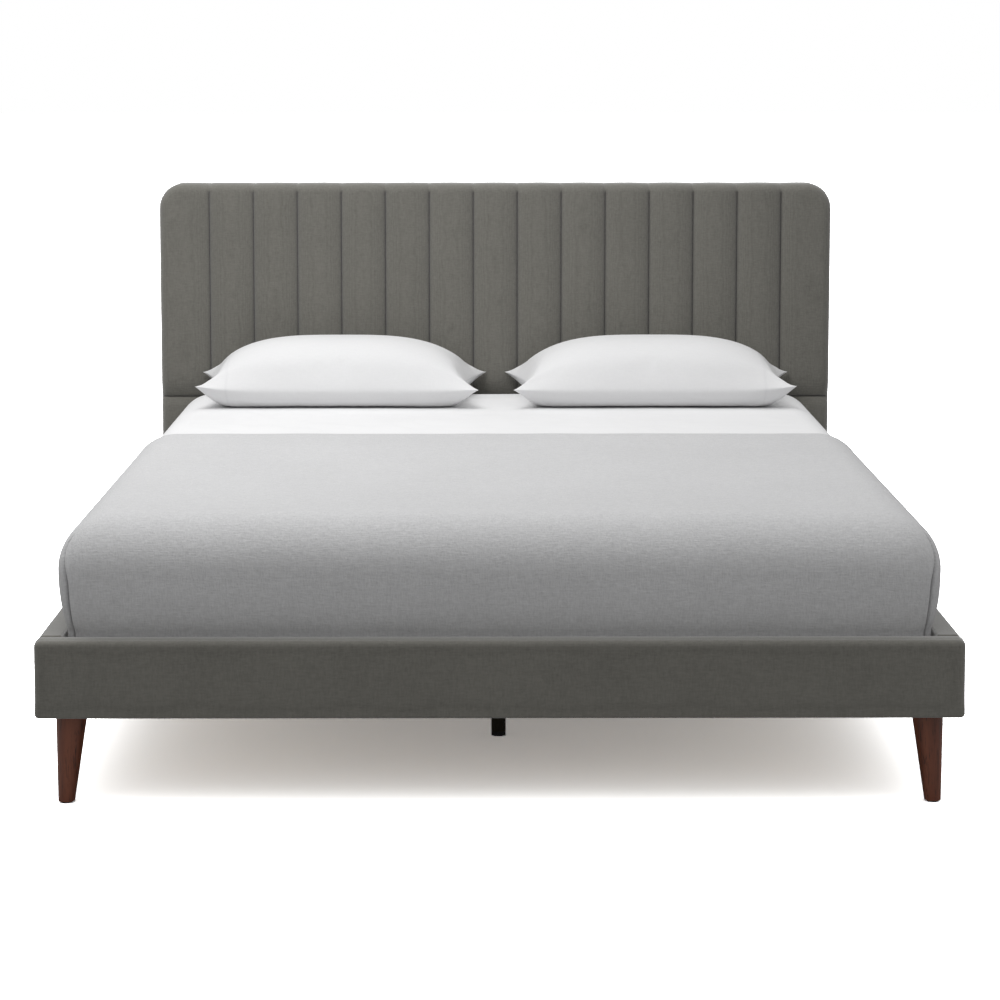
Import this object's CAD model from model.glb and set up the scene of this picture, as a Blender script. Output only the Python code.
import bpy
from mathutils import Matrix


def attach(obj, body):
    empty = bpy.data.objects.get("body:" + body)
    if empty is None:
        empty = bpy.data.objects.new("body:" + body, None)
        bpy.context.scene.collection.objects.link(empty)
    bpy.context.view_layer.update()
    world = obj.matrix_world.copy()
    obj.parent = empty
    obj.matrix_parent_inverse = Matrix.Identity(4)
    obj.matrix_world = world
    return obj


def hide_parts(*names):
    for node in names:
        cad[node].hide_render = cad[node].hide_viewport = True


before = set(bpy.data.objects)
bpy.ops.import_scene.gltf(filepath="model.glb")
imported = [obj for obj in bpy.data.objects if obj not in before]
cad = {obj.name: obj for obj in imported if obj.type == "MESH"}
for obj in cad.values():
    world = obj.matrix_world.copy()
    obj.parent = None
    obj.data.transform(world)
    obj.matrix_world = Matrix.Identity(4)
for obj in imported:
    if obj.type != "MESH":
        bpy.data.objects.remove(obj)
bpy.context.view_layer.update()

from math import pi, radians

import bmesh
import bpy
import numpy as np

scene = bpy.context.scene

print("stage: camera, floor and lights")
cameraView = dict(place=(-0.0282, -6.1646, 1.3138), down=6.654, turn=0.316, lens=106.45, shift=-0.1)
studio = dict(sky=0.43, overhead=1.25, focus=6, lampSize=(1.4, 1.1), lampPlace=(-0.95, -0.45, 2.65),
              lampTilt=30, lampTurn=18, lampPower=31, floorSeen=4.2, floorGlow=0.17, floorBounce=0.38)


def addNode(tree, kind, inputs=None, **settings):  # inputs are constants, or sockets to link from
    node = tree.nodes.new(kind)
    for key, value in settings.items():
        setattr(node, key, value)
    for key, value in (inputs or {}).items():
        if isinstance(value, bpy.types.NodeSocket):
            tree.links.new(value, node.inputs[key])
        else:
            node.inputs[key].default_value = value
    return node


cameraData = bpy.data.cameras.new("bedCamera")
cameraData.lens = cameraView["lens"]
cameraData.sensor_width = 36
cameraData.shift_y = cameraView["shift"]
bedCamera = bpy.data.objects.new("bedCamera", cameraData)
bedCamera.location = cameraView["place"]
bedCamera.rotation_euler = (radians(90 - cameraView["down"]), 0, -radians(cameraView["turn"]))
scene.collection.objects.link(bedCamera)
scene.camera = bedCamera
scene.view_settings.view_transform = "Standard"

# The sky is brightest straight overhead, like one very large soft box; the camera sees plain white behind
# it.
world = bpy.data.worlds.new("studioSky")
scene.world = world
world.use_nodes = True
sky = world.node_tree
sky.nodes.clear()
direction = addNode(sky, "ShaderNodeTexCoord")
height = addNode(sky, "ShaderNodeSeparateXYZ", {0: direction.outputs["Generated"]})
upward = addNode(sky, "ShaderNodeMath", {0: height.outputs["Z"], 1: 0.0}, operation="MAXIMUM")
focused = addNode(sky, "ShaderNodeMath", {0: upward.outputs[0], 1: studio["focus"]}, operation="POWER")
strength = addNode(sky, "ShaderNodeMath", {0: focused.outputs[0], 1: studio["overhead"], 2: studio["sky"]},
                   operation="MULTIPLY_ADD")
lit = addNode(sky, "ShaderNodeBackground", {"Color": (1, 1, 1, 1), "Strength": strength.outputs[0]})
seen = addNode(sky, "ShaderNodeBackground", {"Color": (1, 1, 1, 1), "Strength": 1.0})
ray = addNode(sky, "ShaderNodeLightPath")
mixed = addNode(sky, "ShaderNodeMixShader", {0: ray.outputs["Is Camera Ray"], 1: lit.outputs[0],
                                             2: seen.outputs[0]})
addNode(sky, "ShaderNodeOutputWorld", {"Surface": mixed.outputs[0]})

lampData = bpy.data.lights.new("overheadLamp", "AREA")
lampData.shape = "RECTANGLE"
lampData.size, lampData.size_y = studio["lampSize"]
lampData.energy = studio["lampPower"]
overheadLamp = bpy.data.objects.new("overheadLamp", lampData)
overheadLamp.location = studio["lampPlace"]
overheadLamp.rotation_euler = (radians(studio["lampTilt"]), radians(-studio["lampTurn"]), 0)
scene.collection.objects.link(overheadLamp)

# The floor throws a grey light back on the bed. The camera sees a brighter one, which fades out to white.
floorMesh = bpy.data.meshes.new("studioFloor")
floorMesh.from_pydata([(-60, -60, 0), (60, -60, 0), (60, 60, 0), (-60, 60, 0)], [], [(0, 1, 2, 3)])
studioFloor = bpy.data.objects.new("studioFloor", floorMesh)
scene.collection.objects.link(studioFloor)
floorPaint = bpy.data.materials.new("paleFloor")
floorPaint.use_nodes = True
tree = floorPaint.node_tree
tree.nodes.clear()
bounced = addNode(tree, "ShaderNodeBsdfDiffuse", {"Color": (studio["floorBounce"],) * 3 + (1,)})
shown = addNode(tree, "ShaderNodeBsdfDiffuse", {"Color": (studio["floorSeen"],) * 3 + (1,)})
glow = addNode(tree, "ShaderNodeEmission", {"Color": (1, 1, 1, 1), "Strength": studio["floorGlow"]})
paper = addNode(tree, "ShaderNodeAddShader", {0: shown.outputs[0], 1: glow.outputs[0]})
floorRay = addNode(tree, "ShaderNodeLightPath")
floorMix = addNode(tree, "ShaderNodeMixShader",
                   {0: floorRay.outputs["Is Camera Ray"], 1: bounced.outputs[0], 2: paper.outputs[0]})
floorSide = addNode(tree, "ShaderNodeNewGeometry")  # from below, the floor can be seen through
openFloor = addNode(tree, "ShaderNodeMixShader", {0: floorSide.outputs["Backfacing"], 1: floorMix.outputs[0],
                                                  2: addNode(tree, "ShaderNodeBsdfTransparent").outputs[0]})
addNode(tree, "ShaderNodeOutputMaterial", {"Surface": openFloor.outputs[0]})
floorMesh.materials.append(floorPaint)

print("stage: surface groups")


def newGroup(name, inputs, outputs):  # inputs: name -> (kind, default); outputs: name -> kind
    group = bpy.data.node_groups.new(name, "ShaderNodeTree")
    for label, (kind, value) in inputs.items():
        socket = group.interface.new_socket(name=label, in_out="INPUT", socket_type="NodeSocket" + kind)
        if value is not None:
            socket.default_value = value
    for label, kind in outputs.items():
        group.interface.new_socket(name=label, in_out="OUTPUT", socket_type="NodeSocket" + kind)
    return group, addNode(group, "NodeGroupInput"), addNode(group, "NodeGroupOutput")


def useGroup(tree, group, inputs):
    node = addNode(tree, "ShaderNodeGroup", node_tree=group)
    for key, value in inputs.items():
        if isinstance(value, bpy.types.NodeSocket):
            tree.links.new(value, node.inputs[key])
        else:
            node.inputs[key].default_value = value
    return node


def stretched(tree, value, low, high):  # 0 at low, 1 at high
    return addNode(tree, "ShaderNodeMapRange", {"Value": value, "From Min": low, "From Max": high}).outputs[0]


def scaled(tree, vector, factors):  # the vector times one factor for each axis
    return addNode(tree, "ShaderNodeVectorMath", {0: vector, 1: factors}, operation="MULTIPLY").outputs[0]


# Woven cloth: the threads are the sizes of three sines added together, so every face of a box shows a
# crossing pair; the slubs are noise stretched along X and along Z; the shade is both, with a broad
# patchiness.
clothWeave, given, made = newGroup(
    "clothWeave",
    {"Vector": ("Vector", None), "Threads": ("Float", 900.0), "Slub": ("Float", 160.0),
     "Patch": ("Float", 7.0), "Thread Share": ("Float", 0.3), "Patch Share": ("Float", 0.25)},
    {"Shade": "Float", "Height": "Float", "Patches": "Float"})
turns = addNode(clothWeave, "ShaderNodeMath", {0: given.outputs["Threads"], 1: pi}, operation="MULTIPLY")
phase = addNode(clothWeave, "ShaderNodeVectorMath", {0: given.outputs["Vector"], "Scale": turns.outputs[0]},
                operation="SCALE")
sines = addNode(clothWeave, "ShaderNodeVectorMath", {0: phase.outputs[0]}, operation="SINE")
sizes = addNode(clothWeave, "ShaderNodeVectorMath", {0: sines.outputs[0]}, operation="ABSOLUTE")
threads = addNode(clothWeave, "ShaderNodeVectorMath", {0: sizes.outputs[0], 1: (0.4, 0.4, 0.4)},
                  operation="DOT_PRODUCT")
slubs = [addNode(clothWeave, "ShaderNodeTexNoise",
                 {"Vector": scaled(clothWeave, given.outputs["Vector"], factors),
                  "Scale": given.outputs["Slub"], "Detail": 3.0, "Roughness": 0.65})
         for factors in ((0.22, 1, 1), (1, 0.6, 0.22))]
slub = addNode(clothWeave, "ShaderNodeMath", {0: slubs[0].outputs[0], 1: slubs[1].outputs[0]},
               operation="ADD")
slubHalf = addNode(clothWeave, "ShaderNodeMath", {0: slub.outputs[0], 1: 0.5}, operation="MULTIPLY")
patches = addNode(clothWeave, "ShaderNodeTexNoise",
                  {"Vector": given.outputs["Vector"], "Scale": given.outputs["Patch"], "Detail": 3.0})
withThreads = addNode(clothWeave, "ShaderNodeMix", {0: given.outputs["Thread Share"], 2: slubHalf.outputs[0],
                                                    3: threads.outputs["Value"]})
withPatches = addNode(clothWeave, "ShaderNodeMix", {0: given.outputs["Patch Share"],
                                                    2: withThreads.outputs[0], 3: patches.outputs[0]})
clearer = stretched(clothWeave, withPatches.outputs[0], 0.34, 0.68)
bumps = addNode(clothWeave, "ShaderNodeMath", {0: withThreads.outputs[0], 1: slubHalf.outputs[0]},
                operation="ADD")
clothWeave.links.new(clearer, made.inputs["Shade"])
clothWeave.links.new(bumps.outputs[0], made.inputs["Height"])
clothWeave.links.new(patches.outputs[0], made.inputs["Patches"])

# Wood: rings are bands of a distorted wave round a slanted centre line, fibres are noise stretched twenty
# times along the grain, and pores are the darkest of those fibres. The grain runs along the vector's Z.
woodGrain, given, made = newGroup("woodGrain", {"Vector": ("Vector", None), "Rings": ("Float", 9.0),
                                                "Fibre": ("Float", 240.0), "Ring Share": ("Float", 0.5)},
                                  {"Grain": "Float", "Pores": "Float", "Height": "Float"})
long = scaled(woodGrain, given.outputs["Vector"], (1, 1, 0.05))
wander = addNode(woodGrain, "ShaderNodeTexNoise", {"Vector": long, "Scale": 14.0, "Detail": 2.0})
wandered = addNode(woodGrain, "ShaderNodeVectorMath", {0: wander.outputs["Color"], "Scale": 0.05},
                   operation="SCALE")
shifted = addNode(woodGrain, "ShaderNodeVectorMath", {0: long, 1: wandered.outputs[0]}, operation="ADD")
rings = addNode(woodGrain, "ShaderNodeTexWave",
                {"Vector": shifted.outputs[0], "Scale": given.outputs["Rings"], "Distortion": 3.0,
                 "Detail": 3.0, "Detail Scale": 2.0}, wave_type="RINGS", rings_direction="Z")
fibres = addNode(woodGrain, "ShaderNodeTexNoise",
                 {"Vector": long, "Scale": given.outputs["Fibre"], "Detail": 3.0, "Roughness": 0.7})
grain = addNode(woodGrain, "ShaderNodeMix", {0: given.outputs["Ring Share"], 2: fibres.outputs[0],
                                             3: rings.outputs["Fac"]})
pores = stretched(woodGrain, fibres.outputs[0], 0.44, 0.33)
raised = addNode(woodGrain, "ShaderNodeMath", {0: fibres.outputs[0], 1: pores}, operation="SUBTRACT")
woodGrain.links.new(grain.outputs[0], made.inputs["Grain"])
woodGrain.links.new(pores, made.inputs["Pores"])
woodGrain.links.new(raised.outputs[0], made.inputs["Height"])

# Worn edges: one less the agreement between the face's normal and the rounded one, stretched and broken
# by noise.
wornEdges, given, made = newGroup(
    "wornEdges", {"Vector": ("Vector", None), "Radius": ("Float", 0.0015), "Speckle": ("Float", 220.0)},
    {"Wear": "Float"})
soft = addNode(wornEdges, "ShaderNodeBevel", {"Radius": given.outputs["Radius"]}, samples=4)
hard = addNode(wornEdges, "ShaderNodeNewGeometry")
agree = addNode(wornEdges, "ShaderNodeVectorMath", {0: soft.outputs[0], 1: hard.outputs["Normal"]},
                operation="DOT_PRODUCT")
speckle = addNode(wornEdges, "ShaderNodeTexNoise",
                  {"Vector": given.outputs["Vector"], "Scale": given.outputs["Speckle"], "Detail": 4.0})
edge = stretched(wornEdges, agree.outputs["Value"], 0.995, 0.86)
broken = stretched(wornEdges, speckle.outputs[0], 0.4, 0.62)
wear = addNode(wornEdges, "ShaderNodeMath", {0: edge, 1: broken}, operation="MULTIPLY")
wornEdges.links.new(wear.outputs[0], made.inputs["Wear"])

# Fine grit: two sizes of noise, for paint texture, smudges and cast surfaces.
fineGrit, given, made = newGroup(
    "fineGrit", {"Vector": ("Vector", None), "Fine": ("Float", 900.0), "Smudge": ("Float", 18.0)},
    {"Grit": "Float", "Smudges": "Float"})
grit = addNode(fineGrit, "ShaderNodeTexNoise",
               {"Vector": given.outputs["Vector"], "Scale": given.outputs["Fine"], "Detail": 2.0})
smudge = addNode(fineGrit, "ShaderNodeTexNoise",
                 {"Vector": given.outputs["Vector"], "Scale": given.outputs["Smudge"], "Detail": 4.0})
fineGrit.links.new(grit.outputs[0], made.inputs["Grit"])
fineGrit.links.new(smudge.outputs[0], made.inputs["Smudges"])


def startMaterial(name):
    material = bpy.data.materials.new(name)
    material.use_nodes = True
    material.node_tree.nodes.clear()
    coords = addNode(material.node_tree, "ShaderNodeTexCoord").outputs["Object"]
    return material, material.node_tree, coords


def endMaterial(tree, inputs):
    shader = addNode(tree, "ShaderNodeBsdfPrincipled", inputs)
    addNode(tree, "ShaderNodeOutputMaterial", {"Surface": shader.outputs[0]})


def bumped(tree, height, strength, distance, **settings):
    inputs = {"Height": height, "Strength": strength, "Distance": distance}
    return addNode(tree, "ShaderNodeBump", inputs, **settings).outputs[0]


def between(tree, share, low, high):  # runs from low to high as the share runs from 0 to 1
    return addNode(tree, "ShaderNodeMapRange", {"Value": share, "To Min": low, "To Max": high}).outputs[0]


def mixColours(tree, factor, first, second):
    return addNode(tree, "ShaderNodeMix", {0: factor, 6: first, 7: second}, data_type="RGBA").outputs[2]


def rgb(*values):
    return (*values, 1)


# Cloth: the shade blends two dyes; the piece's own mark darkens its seams and stitches.
def clothMaterial(name, dark, light, seamColour, threads, slub, patch, threadShare, patchShare, depth,
                  roughness, sheen):
    material, tree, coords = startMaterial(name)
    weave = useGroup(tree, clothWeave, {"Vector": coords, "Threads": threads, "Slub": slub, "Patch": patch,
                                        "Thread Share": threadShare, "Patch Share": patchShare})
    mark = addNode(tree, "ShaderNodeAttribute", attribute_name="mark")
    dyed = mixColours(tree, weave.outputs["Shade"], rgb(*dark), rgb(*light))
    seamed = mixColours(tree, mark.outputs["Fac"], dyed, rgb(*seamColour))
    bump = bumped(tree, weave.outputs["Height"], 0.7, depth)
    rough = between(tree, weave.outputs["Patches"], roughness - 0.06, min(1.0, roughness + 0.06))
    endMaterial(tree, {"Base Color": seamed, "Roughness": rough, "Normal": bump,
                       "Sheen Weight": sheen, "Sheen Roughness": 0.45, "Specular IOR Level": 0.25})
    return material


# Wood: grain blends two tones, pores darken it, worn edges lighten it.
def woodMaterial(name, dark, light, poreColour, along, rings, fibre, ringShare, roughness,
                 wornColour, coat=0.0):
    material, tree, coords = startMaterial(name)
    turn = {"x": (0, -pi / 2, 0), "y": (pi / 2, 0, 0), "z": (0, 0, 0)}[along]
    mapped = addNode(tree, "ShaderNodeMapping", {"Vector": coords, "Rotation": turn,
                                                 "Location": (0.31, 0.17, 0)})
    grain = useGroup(tree, woodGrain, {"Vector": mapped.outputs[0], "Rings": rings, "Fibre": fibre,
                                       "Ring Share": ringShare})
    worn = useGroup(tree, wornEdges, {"Vector": coords})
    toned = mixColours(tree, grain.outputs["Grain"], rgb(*dark), rgb(*light))
    pored = mixColours(tree, grain.outputs["Pores"], toned, rgb(*poreColour))
    finished = mixColours(tree, worn.outputs["Wear"], pored, rgb(*wornColour))
    bump = bumped(tree, grain.outputs["Height"], 0.35, 0.0003)
    rough = between(tree, grain.outputs["Grain"], roughness - 0.08, roughness + 0.1)
    endMaterial(tree, {"Base Color": finished, "Roughness": rough, "Normal": bump,
                       "Coat Weight": coat, "Coat Roughness": 0.3})
    return material


# Metal and plastic: smudges blend two tones and change the gloss, grit gives the bump, edges wear through.
def hardMaterial(name, dark, light, wornColour, metallic, roughness, fine, depth):
    material, tree, coords = startMaterial(name)
    grit = useGroup(tree, fineGrit, {"Vector": coords, "Fine": fine, "Smudge": 25.0})
    worn = useGroup(tree, wornEdges, {"Vector": coords, "Radius": 0.0008, "Speckle": 500.0})
    toned = mixColours(tree, grit.outputs["Smudges"], rgb(*dark), rgb(*light))
    finished = mixColours(tree, worn.outputs["Wear"], toned, rgb(*wornColour))
    rough = between(tree, grit.outputs["Smudges"], roughness - 0.08, roughness + 0.12)
    bump = bumped(tree, grit.outputs["Grit"], 0.4, depth)
    endMaterial(tree, {"Base Color": finished, "Roughness": rough, "Metallic": metallic,
                       "Normal": bump})
    return material


# Foam: open cells, dark where the distance to the nearest cell centre is greatest.
def foamMaterial(name, dark, light):
    material, tree, coords = startMaterial(name)
    cells = addNode(tree, "ShaderNodeTexVoronoi", {"Vector": coords, "Scale": 700.0})
    grit = useGroup(tree, fineGrit, {"Vector": coords, "Fine": 300.0, "Smudge": 9.0})
    blend = addNode(tree, "ShaderNodeMath", {0: cells.outputs["Distance"], 1: grit.outputs["Smudges"]},
                    operation="MULTIPLY")
    tint = mixColours(tree, blend.outputs[0], rgb(*light), rgb(*dark))
    bump = bumped(tree, cells.outputs["Distance"], 0.6, 0.0008, invert=True)
    endMaterial(tree, {"Base Color": tint, "Roughness": 0.95, "Normal": bump, "Sheen Weight": 0.1})
    return material


print("stage: materials")
upholstery = clothMaterial("upholsteryCloth", (0.120, 0.116, 0.101), (0.196, 0.190, 0.168),
                           (0.03, 0.029, 0.026), threads=700.0, slub=330.0, patch=6.0, threadShare=0.22,
                           patchShare=0.14, depth=0.0006, roughness=0.86, sheen=1.0)
blanketWool = clothMaterial("blanketWool", (0.50, 0.50, 0.505), (0.66, 0.66, 0.665), (0.07, 0.07, 0.07),
                            threads=340.0, slub=330.0, patch=5.0, threadShare=0.0, patchShare=0.1,
                            depth=0.0012, roughness=0.93, sheen=0.1)
sheetCotton = clothMaterial("sheetCotton", (0.765, 0.765, 0.77), (0.82, 0.82, 0.825), (0.5, 0.5, 0.51),
                            threads=1500.0, slub=300.0, patch=4.0, threadShare=0.3, patchShare=0.3,
                            depth=0.00015, roughness=0.88, sheen=0.05)
caseCotton = clothMaterial("pillowcaseCotton", (0.72, 0.72, 0.725), (0.775, 0.775, 0.78), (0.45, 0.45, 0.47),
                           threads=1500.0, slub=260.0, patch=5.0, threadShare=0.3, patchShare=0.3,
                           depth=0.0002, roughness=0.86, sheen=0.06)
tickingCotton = clothMaterial("pillowTicking", (0.70, 0.69, 0.66), (0.80, 0.79, 0.76), (0.35, 0.34, 0.33),
                              threads=1100.0, slub=200.0, patch=8.0, threadShare=0.4, patchShare=0.2,
                              depth=0.0003, roughness=0.9, sheen=0.05)
mattressKnit = clothMaterial("mattressKnit", (0.66, 0.66, 0.67), (0.80, 0.80, 0.81), (0.22, 0.23, 0.26),
                             threads=480.0, slub=150.0, patch=10.0, threadShare=0.45, patchShare=0.2,
                             depth=0.0008, roughness=0.92, sheen=0.08)
backingCloth = clothMaterial("backingCloth", (0.012, 0.012, 0.013), (0.03, 0.03, 0.032),
                             (0.006, 0.006, 0.006), threads=380.0, slub=420.0, patch=12.0, threadShare=0.1,
                             patchShare=0.25, depth=0.0005, roughness=0.95, sheen=0.05)
tapeWeave = clothMaterial("webbingTape", (0.50, 0.48, 0.43), (0.68, 0.66, 0.60), (0.2, 0.19, 0.17),
                          threads=520.0, slub=300.0, patch=14.0, threadShare=0.6, patchShare=0.1,
                          depth=0.0008, roughness=0.9, sheen=0.05)
pine = dict(dark=(0.42, 0.27, 0.14), light=(0.66, 0.48, 0.29), poreColour=(0.30, 0.18, 0.09), rings=7.0,
            fibre=260.0, ringShare=0.45, roughness=0.62, wornColour=(0.72, 0.56, 0.37))
pineAlongX = woodMaterial("pineAlongX", along="x", **pine)
pineAlongY = woodMaterial("pineAlongY", along="y", **pine)
pineAlongZ = woodMaterial("pineAlongZ", along="z", **pine)
slatBirch = woodMaterial("slatBirch", (0.56, 0.41, 0.25), (0.76, 0.61, 0.42), (0.42, 0.29, 0.17), along="x",
                         rings=4.0, fibre=320.0, ringShare=0.25, roughness=0.5, wornColour=(0.80, 0.68, 0.5))
facePly = woodMaterial("facePly", (0.45, 0.31, 0.18), (0.62, 0.46, 0.29), (0.32, 0.21, 0.12), along="x",
                       rings=3.0, fibre=200.0, ringShare=0.6, roughness=0.66, wornColour=(0.7, 0.55, 0.38))
walnut = woodMaterial("legWalnut", (0.105, 0.026, 0.011), (0.25, 0.078, 0.036), (0.04, 0.011, 0.005),
                      along="z", rings=16.0, fibre=380.0, ringShare=0.4, roughness=0.42,
                      wornColour=(0.36, 0.16, 0.08), coat=0.12)
bracketSteel = hardMaterial("bracketSteel", (0.38, 0.385, 0.39), (0.56, 0.565, 0.57), (0.72, 0.72, 0.72),
                            1.0, 0.42, 700.0, 0.00008)
bronzePaint = hardMaterial("bronzePaint", (0.022, 0.017, 0.009), (0.045, 0.035, 0.018), (0.16, 0.13, 0.08),
                           0.35, 0.5, 900.0, 0.00025)
zincPlate = hardMaterial("zincPlate", (0.50, 0.51, 0.53), (0.68, 0.69, 0.70), (0.82, 0.82, 0.82), 1.0,
                         0.3, 1200.0, 0.00004)
yellowZinc = hardMaterial("yellowZinc", (0.50, 0.38, 0.15), (0.72, 0.58, 0.28), (0.8, 0.74, 0.55), 1.0,
                          0.32, 1200.0, 0.00004)
blackPlastic = hardMaterial("blackPlastic", (0.012, 0.012, 0.012), (0.028, 0.028, 0.028),
                            (0.08, 0.08, 0.08), 0.0, 0.55, 1500.0, 0.00012)
paddingFoam = foamMaterial("paddingFoam", (0.42, 0.36, 0.22), (0.78, 0.72, 0.55))

print("stage: mesh tools")


def softStep(low, high, value):  # 0 below low, 1 above high, and a smooth turn between
    t = np.clip((value - low) / (high - low), 0, 1)
    return t * t * (3 - 2 * t)


def ripple(a, b, length, seed):  # the mean of six sine waves in seeded directions
    chance = np.random.default_rng(seed)
    angle, phase = chance.uniform(0, 2 * pi, (2, 6))
    wave = length * chance.uniform(0.6, 1.8, 6)
    a, b = a[..., None], b[..., None]
    return np.sin(2 * pi * (a * np.cos(angle) + b * np.sin(angle)) / wave + phase).mean(-1)


def edgeSpaced(low, high, radius, step, turns=7):  # places from low to high, closer where the edges roll over
    edge = radius * (1 - np.cos(np.linspace(0, pi / 2, turns + 1)))
    count = max(2, round((high - low - 2 * radius) / step))
    middle = np.linspace(low + radius, high - radius, count + 1)[1:-1]
    return np.concatenate([low + edge, middle, (high - edge)[::-1]])


# A quarter circle: how far a face has turned back, by its distance in from the edge.
def roll(distance, radius):
    inset = radius - np.clip(distance, 0, radius)
    return radius - np.sqrt(radius ** 2 - inset ** 2)


# A rectangle with rounded corners, half wide either side of zero and from low to high; a power of 2
# rounds them to circles and a higher one makes them squarer. Its grid keeps every row in place and
# squeezes the part past fixed to the outline's width there.
def outlineGrid(form, across, along):
    b, power = along[:, None] + 0 * across, form.get("power", 2)
    radius = np.where(b > (form["low"] + form["high"]) / 2, form["highRadius"], form["lowRadius"])
    past = np.maximum(np.maximum(b - form["high"] + radius, form["low"] + radius - b), 0)
    width = form["half"] - radius + np.maximum(radius ** power - past ** power, 0) ** (1 / power)
    fixed = form.get("fixed", 0)
    outer = np.maximum(np.abs(across) - fixed, 0) / (form["half"] - fixed)
    return np.sign(across) * (np.minimum(np.abs(across), fixed) + outer * (width - fixed)), b


def outlineInset(form, a, b):  # how far a point is inside the outline
    radius = np.where(b > (form["low"] + form["high"]) / 2, form["highRadius"], form["lowRadius"])
    sideways = np.abs(a) - form["half"] + radius
    lengthways = np.maximum(b - form["high"] + radius, form["low"] + radius - b)
    power = form.get("power", 2)
    outside = (np.maximum(sideways, 0) ** power + np.maximum(lengthways, 0) ** power) ** (1 / power)
    return radius - outside - np.minimum(np.maximum(sideways, lengthways), 0)


def outlineNormal(form, a, b):  # the way out, from the nearest point of the outline's core
    radius = np.where(b > (form["low"] + form["high"]) / 2, form["highRadius"], form["lowRadius"])
    outA = a - np.clip(a, radius - form["half"], form["half"] - radius)
    outB = b - np.clip(b, form["low"] + radius, form["high"] - radius)
    power = form.get("power", 2) - 1
    outA, outB = np.sign(outA) * np.abs(outA) ** power, np.sign(outB) * np.abs(outB) ** power
    length = np.maximum(np.hypot(outA, outB), 1e-12)
    return outA / length, outB / length


def rim(grid):  # a grid's outer points, once round
    return np.concatenate([grid[0, :-1], grid[:-1, -1], grid[-1, :0:-1], grid[:0:-1, 0]])


def openRim(grid):  # the same without the last row: down one side, along the first row and up the other side
    return np.concatenate([grid[:0:-1, 0], grid[0, :-1], grid[:, -1]])


def surface(points, ring=False, keep=None, mark=None):
    return dict(points=points, ring=ring, keep=keep, mark=mark)


def inFront(a, b, depth):  # a form drawn in X and Z, with its depth along Y
    return np.stack(np.broadcast_arrays(a, depth, b), -1)


def onTop(a, b, depth):  # a form drawn in X and Y, with its depth along Z
    return np.stack(np.broadcast_arrays(a, b, depth), -1)


def faceMiddles(points, ring=False):
    p = np.concatenate([points, points[:, :1]], 1) if ring else points
    return (p[:-1, :-1] + p[:-1, 1:] + p[1:, :-1] + p[1:, 1:]) / 4


# Puts surfaces in one mesh, sews them where their points meet and turns the faces away from inside.
def sewn(name, surfaces, inside, capped=False):
    points, marks, faces, start = [], [], [], 0
    for part in surfaces:
        rows, columns = part["points"].shape[:2]
        index = start + np.arange(rows * columns).reshape(rows, columns)
        start += rows * columns
        if part["ring"]:
            index = np.hstack([index, index[:, :1]])
        quads = np.stack([index[:-1, :-1], index[:-1, 1:], index[1:, 1:], index[1:, :-1]], -1)
        faces.append((quads if part["keep"] is None else quads[part["keep"]]).reshape(-1, 4))
        points.append(part["points"].reshape(-1, 3))
        marks.append(np.zeros(rows * columns) if part["mark"] is None else part["mark"].ravel())
    used, faces = np.unique(np.concatenate(faces), return_inverse=True)
    points, marks, faces = np.concatenate(points)[used], np.concatenate(marks)[used], faces.reshape(-1, 4)
    mesh = bpy.data.meshes.new(name)
    mesh.vertices.add(len(points))
    mesh.vertices.foreach_set("co", points.ravel())
    mesh.loops.add(faces.size)
    mesh.loops.foreach_set("vertex_index", faces.ravel())
    mesh.polygons.add(len(faces))
    mesh.polygons.foreach_set("loop_start", np.arange(0, faces.size, 4))
    mesh.update(calc_edges=True)
    mesh.attributes.new("mark", "FLOAT", "POINT").data.foreach_set("value", marks.astype(np.float32))
    sewing = bmesh.new()
    sewing.from_mesh(mesh)
    bmesh.ops.remove_doubles(sewing, verts=sewing.verts, dist=2e-5)
    if capped:
        bmesh.ops.holes_fill(sewing, edges=sewing.edges, sides=0)
    bmesh.ops.recalc_face_normals(sewing, faces=sewing.faces)
    sewing.to_mesh(mesh)
    sewing.free()
    normal, middle, area = (np.zeros(len(mesh.polygons) * size) for size in (3, 3, 1))
    mesh.polygons.foreach_get("normal", normal)
    mesh.polygons.foreach_get("center", middle)
    mesh.polygons.foreach_get("area", area)
    outward = ((middle.reshape(-1, 3) - inside) * normal.reshape(-1, 3)).sum(1)
    if (outward * area).sum() < 0:
        mesh.flip_normals()
    return mesh


def finishPiece(name, mesh, body, material, replaces=(), thickness=0, subdivide=0, sharp=50):
    piece = bpy.data.objects.new(name, mesh)
    scene.collection.objects.link(piece)
    mesh.materials.clear()
    mesh.materials.append(material)
    mesh.shade_smooth()
    mesh.set_sharp_from_angle(angle=radians(sharp))
    if thickness:
        wall = piece.modifiers.new("clothThickness", "SOLIDIFY")
        wall.thickness = thickness
        wall.offset = -1
    if subdivide:
        finer = piece.modifiers.new("finer", "SUBSURF")
        finer.levels = finer.render_levels = subdivide
    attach(piece, body)
    if replaces:
        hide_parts(*replaces)
    return piece


print("stage: headboard cover")
headboard = dict(half=0.815, low=0.160, high=1.005, lowRadius=0.006, highRadius=0.060, fixed=0.6935,
                 crown=0.012, seamPlane=1.014, plainPlane=1.008, lowerPlane=1.036, backPlane=1.0886,
                 channels=13, channelWidth=0.10669, channelSeam=0.486, paddingLow=0.3025, roll=0.022,
                 lowRoll=0.006, groove=0.0038, grooveWidth=0.0028, dip=0.0018, turnIn=0.016, backRoll=0.004)


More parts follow.
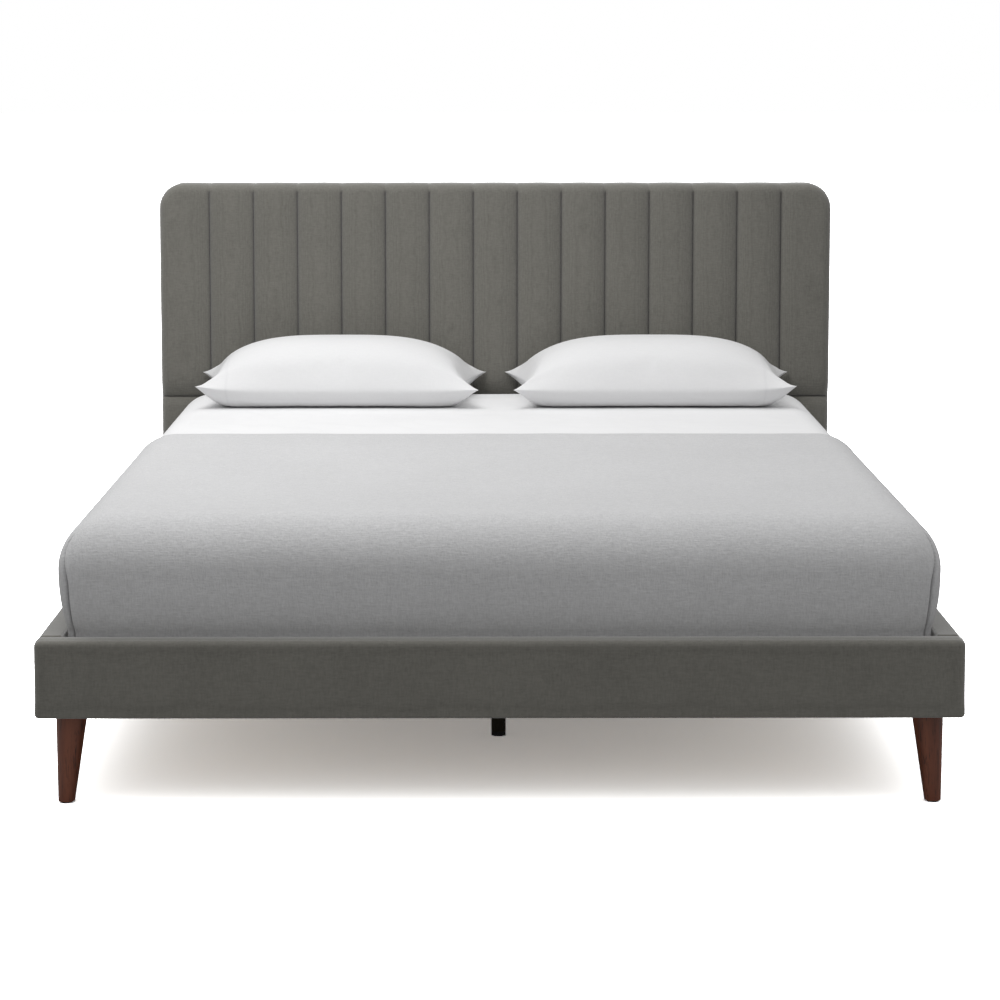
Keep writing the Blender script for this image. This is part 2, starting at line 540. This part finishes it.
# How full a channel is: 1 along its middle, 0 at its seams, by one less the 2.6th power of the distance
# across. The plain borders are full from their middle outwards.
def fullness(x, form):
    outer = np.maximum(np.abs(x) - form["fixed"], 0) / (0.55 * form["channelWidth"])
    inner = np.mod(x + form["fixed"], form["channelWidth"]) / form["channelWidth"] * 2 - 1
    t = np.where(np.abs(x) > form["fixed"], 1 - np.minimum(outer, 1), np.abs(inner))
    return 1 - t ** 2.6


def seamDistance(x, form):  # to the nearest of the upright seams
    halfWidth = form["channelWidth"] / 2
    inner = np.mod(x + form["fixed"] + halfWidth, form["channelWidth"]) - halfWidth
    return np.where(np.abs(x) > form["fixed"], np.abs(x) - form["fixed"], np.abs(inner))


def headboardColumns(form):
    s = np.linspace(-1, 1, 17)
    channel = np.sign(s) * (1 - (1 - np.abs(s)) ** 1.6)
    middles = -form["fixed"] + form["channelWidth"] * (np.arange(form["channels"]) + 0.5)
    inner = (middles[:, None] + channel[:-1] * form["channelWidth"] / 2).ravel()
    border = form["fixed"] + (form["half"] - form["roll"] - form["fixed"]) * np.linspace(0, 1, 14) ** 1.5
    edge = form["half"] - form["roll"] * (1 - np.cos(np.linspace(pi / 2, 0, 8)))
    outer = np.concatenate([border, edge[1:]])
    return np.concatenate([-outer[::-1], inner[1:], outer])


# Rows from the bottom up: their height, the plane they lie in, how much of the channels' fullness they
# have and the radius with which the sides roll back.
def headboardRows(form):
    low, seam = form["paddingLow"], form["channelSeam"]
    bottom = form["low"] + form["lowRoll"] * (1 - np.cos(np.linspace(0, pi / 2, 5)))
    lower = np.concatenate([bottom, np.linspace(form["low"] + 0.014, low - 0.002, 8)])
    under = np.linspace(low - 0.0014, low - 0.0004, 4)
    turn = np.linspace(0, pi / 2, 7)
    plain = np.concatenate([np.linspace(low + 0.012, seam - 0.03, 9)[1:],
                            seam - np.array([0.022, 0.015, 0.009, 0.005, 0.0025])])
    channelled = np.concatenate([seam + np.array([0, 0.0025, 0.005, 0.009, 0.015, 0.022, 0.03]),
                                 np.linspace(seam + 0.04, form["high"] - form["roll"], 34)])
    top = form["high"] - form["roll"] * (1 - np.cos(np.linspace(pi / 2, 0, 8)))[1:]
    z = np.concatenate([lower, under, low + 0.012 * (1 - np.cos(turn)), plain, channelled, top])
    rise = (1 - softStep(0, 0.03, seam - plain)) ** 1.5
    plane = np.concatenate([np.full(len(lower), form["lowerPlane"]),
                            np.linspace(form["lowerPlane"] - 0.003, form["plainPlane"] + 0.013, 4),
                            form["plainPlane"] + 0.012 * (1 - np.sin(turn)),
                            form["plainPlane"] + (form["seamPlane"] - form["plainPlane"]) * rise,
                            np.full(len(channelled) + len(top), form["seamPlane"])])
    full = softStep(0, 0.045, z - seam) ** 0.55
    radius = form["lowRoll"] + (form["roll"] - form["lowRoll"]) * softStep(low - 0.002, low + 0.012, z)
    return z, plane[:, None], full[:, None], radius[:, None]


# The face is its row's plane, less the channels' fullness, plus the sewn grooves and the roll at the edges.
def headboardFace(form, firstRow=0):
    z, plane, full, radius = (rows[firstRow:] for rows in headboardRows(form))
    a, b = outlineGrid(dict(form, low=min(form["low"], z[0])), headboardColumns(form), z)
    lobe = fullness(a, form)
    nearSeam = np.exp(-(seamDistance(a, form) / form["grooveWidth"]) ** 2)
    nearJoin = np.exp(-((b - form["channelSeam"]) / 0.003) ** 2)
    seamFade = softStep(0.0, 0.006, b - form["channelSeam"])
    seamFade = seamFade * (1 - softStep(-0.024, -0.014, b - form["high"]))
    uneven = 0.0007 * ripple(a, b, 0.11, 3) + 0.0005 * ripple(a, b, 0.035, 5) * full
    depth = (plane - form["crown"] * lobe * full + form["groove"] * (nearSeam * seamFade + nearJoin)
             + roll(outlineInset(form, a, b), radius) + uneven * (1 - nearSeam))
    dipped = b - form["dip"] * (1 - lobe ** 0.6) * softStep(-0.05, -0.004, b - form["high"])
    seamMark = np.clip(np.maximum(nearSeam ** 3 * seamFade, nearJoin ** 4), 0, 1)
    return inFront(a, dipped, depth), seamMark


front, seamMark = headboardFace(headboard)
edge = rim(front)
centre = np.array([0, 0, (headboard["low"] + headboard["high"]) / 2])
backY, cornerR = headboard["backPlane"], headboard["backRoll"]
share = np.linspace(0, 1, 7)[:, None]
deeper = edge[None, :, 1] + (backY - cornerR - edge[None, :, 1]) * share
side = inFront(edge[None, :, 0], edge[None, :, 2], deeper)
turned = np.linspace(0, pi / 2, 5)[:, None]
inward = np.concatenate([cornerR * (1 - np.cos(turned)), np.array([[0.009], [headboard["turnIn"]]])])
level = np.concatenate([backY - cornerR * (1 - np.sin(turned)), np.full((2, 1), backY)])
backZ = centre[2] + (edge[None, :, 2] - centre[2]) * (1 - inward / (headboard["high"] - centre[2]))
back = inFront(edge[None, :, 0] * (1 - inward / headboard["half"]), backZ, level)
coverMesh = sewn("headboardCover", [surface(front, mark=seamMark), surface(side, ring=True),
                                    surface(back, ring=True)], inside=(0, 1.06, 0.58))
headboardCover = finishPiece("headboardCover", coverMesh, "bed_frame", upholstery,
                             replaces=["headboard_cover"], thickness=0.0016)

foamSlab = dict(headboard, half=0.8122, high=1.0022, lowerPlane=1.0385, plainPlane=1.0106, seamPlane=1.0166,
                paddingLow=0.3052, closePlane=1.0384)  # the same face, the cloth's thickness further in
face, _ = headboardFace(foamSlab, firstRow=13)
face[..., 1] = np.minimum(face[..., 1], foamSlab["closePlane"] - 0.001)
edge = rim(face)
share = np.linspace(0, 1, 4)[:, None, None]
shut = edge * (1, 0, 1) + (0, foamSlab["closePlane"], 0)
foamMesh = sewn("headboardFoam", [surface(face), surface(edge * (1 - share) + shut * share, ring=True),
                                  surface(face * (1, 0, 1) + (0, foamSlab["closePlane"], 0))],
                inside=(0, 1.03, 0.65))
headboardFoam = finishPiece("headboardFoam", foamMesh, "bed_frame", paddingFoam,
                            replaces=["headboard_foam"])

print("stage: rail covers")


def isOpen(middle, form):  # where a rail's cover stops short round the timber's inner face
    low, high = form["openLow"], form["openHigh"]
    return (np.abs(middle[..., 0]) < form["openHalf"]) & (middle[..., 2] > low) & (middle[..., 2] < high)


footCover = dict(half=0.815, low=0.160, high=0.298, lowRadius=0.008, highRadius=0.011, frontPlane=-1.088,
                 backPlane=-1.044, roll=0.0105, lowRoll=0.004, backRoll=0.004, crown=0.0012,
                 topCrown=0.0018, openHalf=0.772, openLow=0.180, openHigh=0.273)
across = edgeSpaced(-footCover["half"], footCover["half"], footCover["roll"], 0.0135)
along = edgeSpaced(footCover["low"], footCover["high"], footCover["roll"], 0.0065)
a, b = outlineGrid(footCover, across, along)
inset = outlineInset(footCover, a, b)
radius = footCover["lowRoll"] + (footCover["roll"] - footCover["lowRoll"]) * softStep(0.162, 0.20, b)
swell = footCover["crown"] * softStep(0, 0.04, inset)
swell = swell + 0.0006 * ripple(a, b, 0.16, 11) * softStep(0, 0.03, inset)
front = inFront(a, b, footCover["frontPlane"] + roll(inset, radius) - swell)
back = inFront(a, b, footCover["backPlane"] - roll(inset, footCover["backRoll"]))
edgeA, edgeB = rim(front), rim(back)
share = np.linspace(0, 1, 9)[:, None, None]
arch = np.sin(pi * share) ** 0.7 * footCover["topCrown"] * (0, 0, 1)
arch = arch * softStep(0.28, 0.298, edgeA[None, :, 2:])
middle = faceMiddles(back)
opening = isOpen(middle, footCover)
railMesh = sewn("footRailCover",
                [surface(front), surface(edgeA * (1 - share) + edgeB * share + arch, ring=True),
                 surface(back, keep=~opening)], inside=(0, -1.066, 0.229))
footRailCover = finishPiece("footRailCover", railMesh, "bed_frame", upholstery,
                            replaces=["foot_rail_cover"], thickness=0.0018)


# A closed outline with its own radius at each corner, from the low corner round, steps points on each side.
def roundedSection(low, high, radii, steps):
    quarter = np.radians(np.linspace(0, 90, 7))
    corners = [(low[0] + radii[0], low[1] + radii[0], pi), (high[0] - radii[1], low[1] + radii[1], 1.5 * pi),
               (high[0] - radii[2], high[1] - radii[2], 0), (low[0] + radii[3], high[1] - radii[3], pi / 2)]
    arcs = [np.stack([x + r * np.cos(start + quarter), y + r * np.sin(start + quarter)], -1)
            for (x, y, start), r in zip(corners, radii)]
    share = np.linspace(0, 1, steps + 2)[1:-1, None]
    sides = [arcs[i][-1] * (1 - share) + arcs[(i + 1) % 4][0] * share for i in range(4)]
    return np.concatenate([part for pair in zip(arcs, sides) for part in pair])


sideCover = dict(innerX=0.771, outerX=0.815, low=0.160, high=0.298, startY=-1.0436, endY=1.0356,
                 radii=(0.004, 0.006, 0.011, 0.005), crown=0.0012, openHalf=0.7712,
                 openLow=0.180, openHigh=0.273)
section = roundedSection((sideCover["innerX"], sideCover["low"]), (sideCover["outerX"], sideCover["high"]),
                         sideCover["radii"], 14)
stations = np.linspace(sideCover["startY"], sideCover["endY"], 150)[:, None]
for side, sign in (("Left", -1), ("Right", 1)):
    x, z = section[None, :, 0] + 0 * stations, section[None, :, 1] + 0 * stations
    face = softStep(0.808, 0.8145, x) * np.clip(1 - np.abs((z - 0.229) / 0.062) ** 3, 0, 1)
    ends = softStep(0, 0.05, stations - sideCover["startY"]) * softStep(0, 0.05, sideCover["endY"] - stations)
    x = x + (sideCover["crown"] + 0.0006 * ripple(stations + 0 * z, z, 0.16, 17 + sign)) * face * ends
    points = onTop(sign * x, stations, z)
    middle = faceMiddles(points, ring=True)
    opening = isOpen(middle, sideCover)
    mesh = sewn("sideRailCover" + side, [surface(points, ring=True, keep=~opening)],
                inside=(sign * 0.793, 0, 0.229))
    cover = finishPiece("sideRailCover" + side, mesh, "bed_frame", upholstery,
                        replaces=["side_rail_" + side.lower() + "_cover"], thickness=0.0018)

# Foam strips: an L-shaped section, over the outside and the top of each rail's timber, carried along it.
railFoam = dict(outer=0.8126, core=0.7972, inner=0.7735, low=0.1625, step=0.2882, top=0.2955, round=0.009,
                startY=-1.0425, endY=1.0350, footHalf=0.8045, footShift=0.273)
turn = np.linspace(0, pi / 2, 6)
section = np.array([(railFoam["core"], railFoam["low"]), (railFoam["outer"], railFoam["low"])]
                   + [(railFoam["outer"] - railFoam["round"] * (1 - np.cos(t)),
                       railFoam["top"] - railFoam["round"] * (1 - np.sin(t))) for t in turn]
                   + [(railFoam["inner"], railFoam["top"]), (railFoam["inner"], railFoam["step"]),
                      (railFoam["core"], railFoam["step"])])
stations = np.linspace(railFoam["startY"], railFoam["endY"], 90)[:, None]
strips = [surface(onTop(sign * section[None, :, 0], stations, section[None, :, 1]), ring=True)
          for sign in (-1, 1)]
stations = np.linspace(-railFoam["footHalf"], railFoam["footHalf"], 70)[:, None]
strips.append(surface(onTop(stations, -railFoam["footShift"] - section[None, :, 0], section[None, :, 1]),
                      ring=True))
railFoamPiece = finishPiece("railFoam", sewn("railFoam", strips, inside=(0, 0, 0.23), capped=True),
                            "bed_frame", paddingFoam, replaces=["rail_foam"])

print("stage: mattress")
mattress = dict(half=0.7612, low=-1.0332, high=0.9972, lowRadius=0.082, highRadius=0.082, power=3,
                topPlane=0.4992, bottomPlane=0.2464, roll=0.082, lowRoll=0.036, quilt=0.085,
                quiltDepth=0.0022, tape=0.004)
across = edgeSpaced(-mattress["half"], mattress["half"], mattress["roll"], 0.0155, turns=14)
along = edgeSpaced(mattress["low"], mattress["high"], mattress["roll"], 0.0155, turns=20)
a, b = outlineGrid(mattress, across, along)
inset = outlineInset(mattress, a, b)
diamonds = np.abs(np.sin(pi * (a + b) / mattress["quilt"])) * np.abs(np.sin(pi * (a - b) / mattress["quilt"]))
quilted = mattress["quiltDepth"] * (1 - diamonds ** 0.35) * softStep(0.03, 0.08, inset)
tucked = np.clip(1 - diamonds * 9, 0, 1) * softStep(0.03, 0.08, inset) * 0.35
top = onTop(a, b, mattress["topPlane"] - roll(inset, mattress["roll"]) - quilted)
bottom = onTop(a, b, mattress["bottomPlane"] + roll(inset, mattress["lowRoll"]) + quilted)
edge, edgeBelow = rim(top), rim(bottom)
outA, outB = outlineNormal(mattress, edge[:, 0], edge[:, 1])
share = np.linspace(0, 1, 25)[:, None]
band = np.exp(-((share - 0.06) / 0.035) ** 2) + np.exp(-((share - 0.94) / 0.035) ** 2)  # the two edge tapes
pull = -mattress["tape"] * softStep(0, 0.03, share) * softStep(0, 0.03, 1 - share) * (1 - band)
wallZ = edge[None, :, 2] * (1 - share) + edgeBelow[None, :, 2] * share
wall = onTop(edge[None, :, 0] + outA * pull, edge[None, :, 1] + outB * pull, wallZ)
mattressMesh = sewn("mattressPad", [surface(top, mark=tucked),
                                    surface(wall, ring=True, mark=band * 0.5 + 0 * wallZ),
                                    surface(bottom, mark=tucked)], inside=(0, -0.018, 0.373))
mattressPad = finishPiece("mattressPad", mattressMesh, "made_mattress", mattressKnit,
                          replaces=["mattress"])

print("stage: fitted sheet")
fittedSheet = dict(half=0.7633, low=-1.0353, high=0.9993, lowRadius=0.082, highRadius=0.082, power=3,
                   topPlane=0.5014, hem=0.2505, roll=0.082, flat=(2.03, 2.54), fold=0.0006)
across = edgeSpaced(-fittedSheet["half"], fittedSheet["half"], fittedSheet["roll"], 0.013, turns=16)
along = edgeSpaced(fittedSheet["low"], fittedSheet["high"], fittedSheet["roll"], 0.013, turns=24)
a, b = outlineGrid(fittedSheet, across, along)
inset = outlineInset(fittedSheet, a, b)
bare = softStep(0.14, 0.3, b)  # only where the blanket doesn't lie on it
soft = fittedSheet["fold"] * (ripple(a, b, 0.22, 23) + 0.6 * ripple(a, b, 0.07, 29))
soft = soft * bare * softStep(0, 0.05, inset)
top = onTop(a, b, fittedSheet["topPlane"] - roll(inset, fittedSheet["roll"]) + np.minimum(soft, 0.0004))
edge = rim(top)
outA, outB = outlineNormal(fittedSheet, edge[:, 0], edge[:, 1])
share = np.linspace(0, 1, 22)[:, None]
edgeTurn = np.arctan2(edge[:, 1], edge[:, 0])
gather = -0.0007 * (1 + np.sin(edgeTurn * 190 + 3 * np.sin(edgeTurn * 13))) * softStep(0.8, 1, share)
wallZ = edge[None, :, 2] + (fittedSheet["hem"] - edge[None, :, 2]) * share
wall = onTop(edge[None, :, 0] + outA * gather, edge[None, :, 1] + outB * gather, wallZ)
hemMark = 0.35 * np.exp(-((share - 0.93) / 0.012) ** 2) + 0 * wallZ
sheetMesh = sewn("fittedSheet", [surface(top), surface(wall, ring=True, mark=hemMark)],
                 inside=(0, -0.018, 0.373))
sheetPiece = finishPiece("fittedSheet", sheetMesh, "made_mattress", sheetCotton,
                         replaces=["fitted_sheet"], thickness=0.0009)

print("stage: blanket")
blanket = dict(half=0.7840, low=-1.0565, high=0.126, lowRadius=0.098, highRadius=0.098, power=3,
               topPlane=0.5068, hem=0.2545, tuck=0.0155, tuckZ=0.302, creaseTurn=0.745, creaseTop=0.474,
               creaseDepth=0.010, creaseWidth=0.0024, creaseLean=0.22, leanLow=0.385, leanHigh=0.478,
               turnRadius=0.105, rollOut=0.0040, flat=(2.05, 1.43), hemWidth=0.035)
longForm = dict(blanket, high=3.0)  # its head end isn't rounded: the outline carries on past it
across = edgeSpaced(-blanket["half"], blanket["half"], blanket["lowRadius"], 0.016, turns=22)
foot = blanket["lowRadius"] * (1 - np.cos(np.linspace(0, pi / 2, 135)))
rest = np.linspace(blanket["low"] + blanket["lowRadius"] + 0.008, blanket["high"] - 0.005, 64)
along = np.concatenate([blanket["low"] + foot, rest, blanket["high"] - np.array([0.0015, 0.0005, 0])])


# The tucked corner: a narrow groove down the corner of the foot, with a rolled edge on both sides of it,
# by the distance round the corner from the place of the crease. Gives how far out the cloth goes, and the
# groove's mark.
def tuckedCorner(a, b, z, form):
    sideways = np.abs(a) - form["half"] + form["lowRadius"]
    lengthways = form["low"] + form["lowRadius"] - b
    place = form["creaseTurn"] + form["creaseLean"] * softStep(form["leanLow"], form["leanHigh"], z)
    turned = (np.arctan2(sideways, np.maximum(lengthways, 1e-9)) - place) * form["turnRadius"]
    reach = np.hypot(sideways, lengthways) / form["lowRadius"]
    corner = softStep(0, 0.01, sideways) * softStep(0, 0.01, lengthways) * softStep(0.5, 0.9, reach)
    below = softStep(0, 0.014, form["creaseTop"] - z) * corner
    groove = np.exp(-(turned / form["creaseWidth"]) ** 2) * below
    edges = np.exp(-((turned - 0.010) / 0.007) ** 2) + 0.55 * np.exp(-((turned + 0.007) / 0.004) ** 2)
    rolled = form["rollOut"] * edges * below * softStep(0, 0.05, form["creaseTop"] - z)
    return rolled - form["creaseDepth"] * groove, groove


a, b = outlineGrid(longForm, across, along)
inset = outlineInset(longForm, a, b)
hemLine = np.exp(-((b - blanket["high"] + blanket["hemWidth"]) / 0.0022) ** 2)
doubled = 0.0008 * softStep(-blanket["hemWidth"] - 0.002, -blanket["hemWidth"] + 0.003, b - blanket["high"])
soft = (0.0011 * ripple(a, b, 0.42, 31) + 0.0006 * ripple(a, b, 0.12, 37)) * softStep(0, 0.2, inset)
topZ = (blanket["topPlane"] - roll(inset, blanket["lowRadius"]) + np.maximum(soft, -0.0003) + doubled
        - 0.0010 * hemLine - roll(blanket["high"] - b, 0.0015))
outA, outB = outlineNormal(longForm, a, b)
outward, topMark = tuckedCorner(a, b, topZ, blanket)
top = onTop(a, b, topZ)
edge = openRim(top)
wallA, wallB = openRim(np.stack([outA, outB], -1)).T
share = np.linspace(0, 1, 34)[:, None] ** 0.9
wallZ = edge[None, :, 2] + (blanket["hem"] - edge[None, :, 2]) * share
straight = blanket["topPlane"] - blanket["lowRadius"]  # below this height the wall is upright
drop = np.clip((straight - wallZ) / (straight - blanket["tuckZ"]), 0, 1)
loose = (0.0014 * ripple(edge[None, :, 0] + edge[None, :, 1], wallZ * 0.3, 0.19, 41)
         + 0.0007 * ripple(edge[None, :, 0] - edge[None, :, 1], wallZ * 0.5, 0.07, 43))
loose = loose * softStep(0, 0.3, share) * (1 - softStep(0.75, 1, drop))
cornerOut, wallMark = tuckedCorner(edge[None, :, 0], edge[None, :, 1], wallZ, blanket)
out = loose - blanket["tuck"] * drop ** 2.2 + cornerOut * (1 - 0.6 * softStep(0.85, 1, drop))
wall = onTop(edge[None, :, 0] + wallA * out, edge[None, :, 1] + wallB * out, wallZ)
top = top + onTop(outA * outward, outB * outward, 0)
blanketMesh = sewn("blanket", [surface(top, mark=np.clip(0.25 * hemLine ** 2 + 0.9 * topMark ** 2, 0, 1)),
                               surface(wall, mark=0.9 * wallMark ** 2)],
                   inside=(0, -0.45, 0.373))
blanketPiece = finishPiece("woolBlanket", blanketMesh, "made_mattress", blanketWool,
                           replaces=["blanket"], thickness=0.0042)

print("stage: pillows")
pillow = dict(length=0.692, depth=0.400, height=0.151, rim=0.29, baseZ=0.5024, placeX=0.367, placeY=0.8005,
              endPull=0.105, sidePull=0.045, spread=0.026, tipLift=0.007, outerLift=0.011,
              insertLess=(0.036, 0.032, 0.006), pressure=4.0, frames=20, startShare=0.975, cap=0.008,
              hem=0.085, pressDepth=0.012, pressShare=0.2)


# A cushion is two grids sewn at their rims, with pointed corners where its sides pull in between them, and
# a little longer towards the headboard. The upper one rises by the 0.9th power of one less the 3.3th power
# of the place along it, times the 0.8th power of one less the cube of the place across it. The lower one is
# pressed flat, by one less the cube of one less that height. The tips turn up.
def cushionGrids(form, columns=121, rows=77):
    u = np.sin(np.linspace(-1, 1, columns) * 1.3) / np.sin(1.3)
    v = np.sin(np.linspace(-1, 1, rows) * 1.3)[:, None] / np.sin(1.3)
    x = form["length"] / 2 * u * (1 - form["endPull"] * (1 - v ** 2) * u ** 4)
    y = form["depth"] / 2 * v * (1 - form["sidePull"] * (1 - u ** 2) * v ** 4)
    x = x * (1 + form["spread"] * v)
    puff = (1 - np.abs(u) ** 3.3) ** 0.9 * (1 - np.abs(v) ** 3) ** 0.8
    outerEnd = softStep(0, 1, -u) * softStep(0, 1, -v)
    tips = np.abs(u * v) ** 5 * (form["tipLift"] + form["outerLift"] * outerEnd)
    creases = 0.0022 * np.sin(9 * np.arctan2(v, u) + 5 * u * v) * (np.abs(u * v)) ** 1.5 * puff ** 0.5
    high = (1 - form["rim"]) * form["height"] * puff + creases
    low = -form["rim"] * form["height"] * (1 - (1 - puff) ** 3)
    return onTop(x, y, high + tips), onTop(x, y, low + tips)


def inflate(mesh, form):
    work = bpy.data.objects.new("work", mesh)
    scene.collection.objects.link(work)
    cloth = work.modifiers.new("inflate", "CLOTH")
    cloth.settings.quality = 6
    cloth.settings.mass = 0.25
    cloth.settings.tension_stiffness = cloth.settings.compression_stiffness = 18
    cloth.settings.shear_stiffness = 6
    cloth.settings.bending_stiffness = 0.3
    cloth.settings.use_pressure = True
    cloth.settings.uniform_pressure_force = form["pressure"]
    cloth.settings.effector_weights.gravity = 0
    cloth.collision_settings.use_collision = False
    cloth.point_cache.frame_start, cloth.point_cache.frame_end = 1, form["frames"]
    for moment in range(1, form["frames"] + 1):
        scene.frame_set(moment)
    done = work.evaluated_get(bpy.context.evaluated_depsgraph_get())
    moved = np.zeros(len(mesh.vertices) * 3, np.float32)
    done.data.vertices.foreach_get("co", moved)
    scene.frame_set(1)
    bpy.data.objects.remove(work)
    return moved.reshape(-1, 3).astype(float)


startForm = dict(pillow, **{key: pillow[key] * pillow["startShare"] for key in ("length", "depth", "height")})
upper, lower = cushionGrids(startForm)
pillowMesh = sewn("pillowStart", [surface(upper), surface(lower)], inside=(0, 0, 0.01))
started = np.zeros(len(pillowMesh.vertices) * 3)
pillowMesh.vertices.foreach_get("co", started)
started = started.reshape(-1, 3)
swollen = inflate(pillowMesh, pillow)
travel = swollen - started
distance = np.maximum(np.linalg.norm(travel, axis=1), 1e-9)[:, None]
swollen = started + travel * np.minimum(distance, pillow["cap"]) / distance
pillowU = started[:, 0] / (startForm["length"] / 2)
print("the pillow swelled by up to", round(float(distance.max()) * 1000, 1), "mm")


# Fits the swollen shape to the pillow's size and place. Its lowest part is pressed to a fifth of its depth.
def restingPillow(points, form, flip, less=(0, 0, 0)):
    size = np.array([form["length"], form["depth"], form["height"]]) - less
    middle = (points.max(0) + points.min(0)) / 2
    p = (points - middle) / np.ptp(points, 0) * size
    limit = form["pressDepth"] - size[2] / 2
    z = np.where(p[:, 2] < limit, form["pressShare"], 1.0) * (p[:, 2] - limit)
    z = (z - z.min()) / np.ptp(z) * size[2] + form["baseZ"] + less[2] / 2
    return onTop(flip * (form["placeX"] - p[:, 0]), p[:, 1] + form["placeY"], z)


# A pillow's two pieces: their name, node, slot, material, how much smaller they are, hem and subdivision.
pillowKinds = (("Pillowcase", "pillowcase_", "pillowcase_cotton", caseCotton, (0, 0, 0), 0.12, 1),
               ("Pillow", "pillow_", "pillow_ticking", tickingCotton, pillow["insertLess"], 0, 0))
for side, sign in (("left", -1), ("right", 1)):
    for label, node, slot, material, less, hemShade, finer in pillowKinds:
        mesh = pillowMesh.copy()
        mesh.vertices.foreach_set("co", restingPillow(swollen, pillow, sign, less).ravel())
        fromEnd = (1 + pillowU) * pillow["length"] / 2
        hemMark = hemShade * np.exp(-((fromEnd - pillow["hem"]) / 0.003) ** 2)
        mesh.attributes["mark"].data.foreach_set("value", hemMark.astype(np.float32))
        if sign > 0:
            mesh.flip_normals()
        mesh.update()
        piece = finishPiece(side + label, mesh, side + "_pillow", material, replaces=[node + side],
                            subdivide=finer, sharp=80)

print("stage: headboard backing cloth and webbing")
backing = dict(half=0.807, low=0.168, high=0.997, lowRadius=0.004, highRadius=0.058, plane=1.0896,
               stapleInset=0.013)
across = np.linspace(-backing["half"], backing["half"], 110)
along = np.linspace(backing["low"], backing["high"], 70)
a, b = outlineGrid(backing, across, along)
inset = outlineInset(backing, a, b)
sag = 0.0012 * ripple(a, b, 0.25, 53) * softStep(0, 0.08, inset) - 0.0004 * softStep(0.0, 0.02, inset)
backingMesh = sewn("headboardBacking", [surface(inFront(a, b, backing["plane"] + np.minimum(sag, 0.0006)))],
                   inside=(0, 1.0, 0.58))
backingPiece = finishPiece("headboardBacking", backingMesh, "bed_frame", backingCloth,
                           replaces=["headboard_backing"], thickness=0.0007)

webbing = dict(places=(-0.380, 0.380), width=0.030, thickness=0.0013, slatInset=0.0475, slatStep=0.16108,
               plane=0.2265, sag=0.0035, startY=-1.032, endY=0.996)
slatPlaces = webbing["startY"] + webbing["slatInset"] + webbing["slatStep"] * np.arange(13)
y = np.linspace(webbing["startY"], webbing["endY"], 260)[:, None]
toSlat = np.abs(y - slatPlaces).min(1)[:, None]
hang = webbing["sag"] * softStep(0.047, 0.0805, toSlat)
width = np.linspace(-1, 1, 5)[None] * webbing["width"] / 2
tapes = [surface(onTop(place + width + 0 * y, y + 0 * width, webbing["plane"] - hang
                       + 0.0003 * (width / 0.015) ** 2)) for place in webbing["places"]]
webbingPiece = finishPiece("slatWebbing", sewn("slatWebbing", tapes, inside=(0, 0, 5.0)), "bed_frame",
                           tapeWeave, replaces=["slat_webbing"], thickness=webbing["thickness"])


# A staple is a bar with a half-round top that bends down at both ends; one mesh holds them all. Each has
# its middle, the way it runs and the way it faces.
def staples(name, middles, runs, faces, length=0.011, thick=0.0012):
    s = np.array([-1, -0.97, -0.85, 0.85, 0.97, 1])[:, None]
    t = np.linspace(0, pi, 5)[None]
    rise = thick * (0.25 + np.sin(t)) * np.array([-0.6, 0.6, 1, 1, 0.6, -0.6])[:, None]
    across = np.cross(runs, faces)
    bars = [surface(m + r * (length / 2 * s)[..., None] + c * (thick / 2 * np.cos(t) + 0 * s)[..., None]
                    + f * rise[..., None]) for m, r, c, f in zip(middles, runs, across, faces)]
    return sewn(name, bars, inside=middles.mean(0) - faces[0] * 3.0)


near = backing["half"] - backing["stapleInset"]
acrossPlaces, upPlaces = np.linspace(-0.74, 0.74, 25), np.linspace(0.20, 0.90, 13)
lowEnd, highEnd = backing["low"] + backing["stapleInset"], backing["high"] - backing["stapleInset"]
middles = np.concatenate([inFront(acrossPlaces, end, backing["plane"]) for end in (lowEnd, highEnd)]
                         + [inFront(end, upPlaces, backing["plane"]) for end in (-near, near)])
runs = np.concatenate([np.tile((1.0, 0, 0), (50, 1)), np.tile((0, 0, 1.0), (26, 1))])
faces = np.tile((0, 1.0, 0), (76, 1))
backStaples = finishPiece("backingStaples", staples("backingStaples", middles - (0, 0.0004, 0), runs, faces),
                          "bed_frame", zincPlate)
middles = np.array([(place + dx, y, webbing["plane"] - 0.0002) for place in webbing["places"]
                    for y in slatPlaces for dx in (-0.008, 0.008)])
runs, faces = np.tile((0, 1.0, 0), (len(middles), 1)), np.tile((0, 0, -1.0), (len(middles), 1))
finishPiece("webbingStaples", staples("webbingStaples", middles, runs, faces), "bed_frame",
            zincPlate)

print("stage: finishes of the CAD parts")
finishes = {
    pineAlongX: ["headboard_top_rail", "headboard_mid_rail", "headboard_bottom_rail", "foot_rail"],
    pineAlongY: ["side_rail_left", "side_rail_right", "slat_ledger_left", "slat_ledger_right", "centre_beam"],
    pineAlongZ: ["headboard_stile_left", "headboard_stile_right", "corner_blocks"],
    facePly: ["headboard_face_board"],
    slatBirch: ["slat_%02d" % i for i in range(1, 14)],
    bracketSteel: ["beam_hangers", "corner_brackets"],
    bronzePaint: ["centre_leg_1", "centre_leg_2", "centre_leg_3"],
    zincPlate: ["leveller_stud_1", "leveller_stud_2", "leveller_stud_3", "bracket_bolts", "leg_hanger_bolts"],
    yellowZinc: ["wood_screws"],
    blackPlastic: ["leveller_foot_1", "leveller_foot_2", "leveller_foot_3", "leg_glides"],
    walnut: ["leg_front_left", "leg_front_right", "leg_rear_left", "leg_rear_right"],
}
for material, names in finishes.items():
    for name in names:
        for slot in cad[name].material_slots:
            slot.material = material
